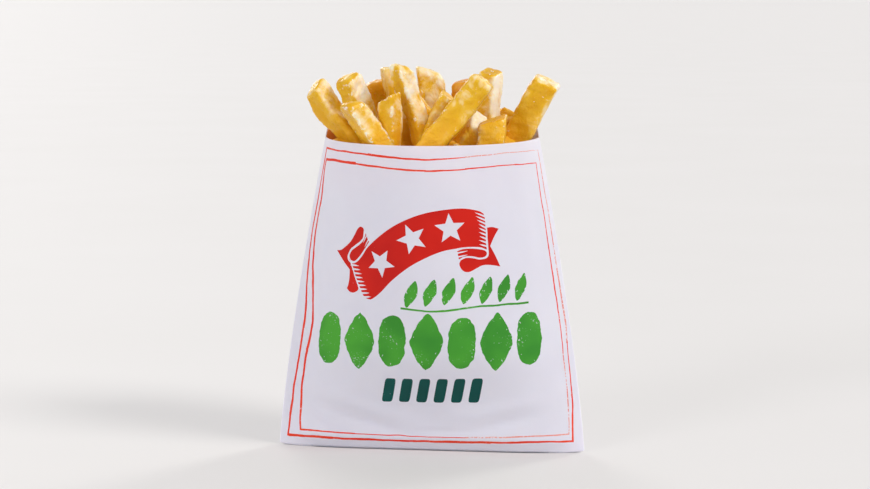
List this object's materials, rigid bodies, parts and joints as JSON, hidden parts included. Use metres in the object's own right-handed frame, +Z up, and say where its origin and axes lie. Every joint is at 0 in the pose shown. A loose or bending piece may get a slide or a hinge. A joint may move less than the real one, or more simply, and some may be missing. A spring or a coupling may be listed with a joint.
{
  "type": "french fries in a paper bag",
  "caption": "Thick-cut french fries standing in a flat white paper bag, wide at the base and bowed open at the mouth, with a printed front.",
  "frame": {"origin": "middle of the bag's flat underside, on the surface it stands on", "axes": "+Z up out of the mouth, -Y towards the printed front panel, +X to the right as seen from the front"},
  "size_m": [0.1128, 0.0701, 0.1417],
  "materials": {
    "paper": "satin",
    "fried_potato": "satin"
  },
  "bodies": {
    "root": {"paper_bag": "paper", "fries_heap": "fried_potato"}
  },
  "joints": []
}
